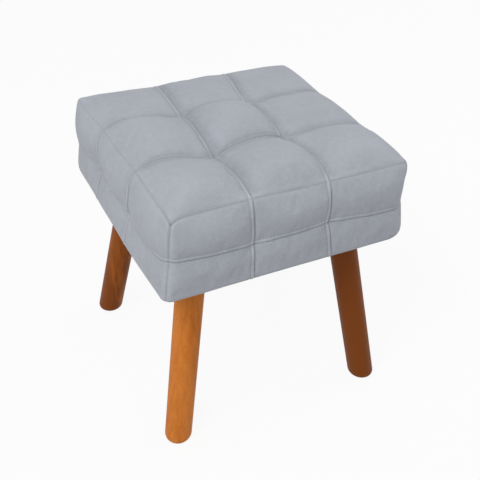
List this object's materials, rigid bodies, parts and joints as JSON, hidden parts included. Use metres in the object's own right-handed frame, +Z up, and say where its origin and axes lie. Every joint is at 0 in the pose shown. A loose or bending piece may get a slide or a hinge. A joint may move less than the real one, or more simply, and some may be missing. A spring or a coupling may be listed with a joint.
{
  "type": "pouf",
  "caption": "Square pouf with a tufted, upholstered seat in grey suede on splayed, turned wooden legs.",
  "frame": {"origin": "on the floor, under the middle of the seat", "axes": "+Z up, +Y to the back, +X to the right; the seat is square, so front and side are alike"},
  "size_m": [0.4012, 0.4012, 0.4603],
  "materials": {
    "suede_cover": "short-napped grey suede cloth",
    "stained_wood": "stained orange-brown, satin lacquer",
    "pine": "sawn",
    "plywood": "raw",
    "foam": "open-cell foam",
    "dust_cloth": "thin non-woven cloth",
    "zinc_steel": "zinc plated",
    "insert_steel": "zinc plated",
    "washer_plastic": "moulded",
    "twine": "waxed"
  },
  "bodies": {
    "root": {"block_screws": "zinc_steel", "corner_block_back_left": "pine", "corner_block_back_right": "pine", "corner_block_front_left": "pine", "corner_block_front_right": "pine", "cover_back": "suede_cover", "cover_front": "suede_cover", "cover_left": "suede_cover", "cover_right": "suede_cover", "cover_top": "suede_cover", "deck_board": "plywood", "deck_screws": "zinc_steel", "dust_cover": "dust_cloth", "dust_cover_staples": "zinc_steel", "hem_staples": "zinc_steel", "leg_back_left": "stained_wood", "leg_back_right": "stained_wood", "leg_bolt_back_left": "zinc_steel", "leg_bolt_back_right": "zinc_steel", "leg_bolt_front_left": "zinc_steel", "leg_bolt_front_right": "zinc_steel", "leg_front_left": "stained_wood", "leg_front_right": "stained_wood", "leg_insert_back_left": "insert_steel", "leg_insert_back_right": "insert_steel", "leg_insert_front_left": "insert_steel", "leg_insert_front_right": "insert_steel", "rail_back": "pine", "rail_front": "pine", "rail_left": "pine", "rail_right": "pine", "rail_screws": "zinc_steel", "seat_foam": "foam", "side_foam_back": "foam", "side_foam_front": "foam", "side_foam_left": "foam", "side_foam_right": "foam", "side_tie_washers": "washer_plastic", "side_ties": "twine", "top_tie_washers": "washer_plastic", "top_ties": "twine"}
  },
  "joints": []
}
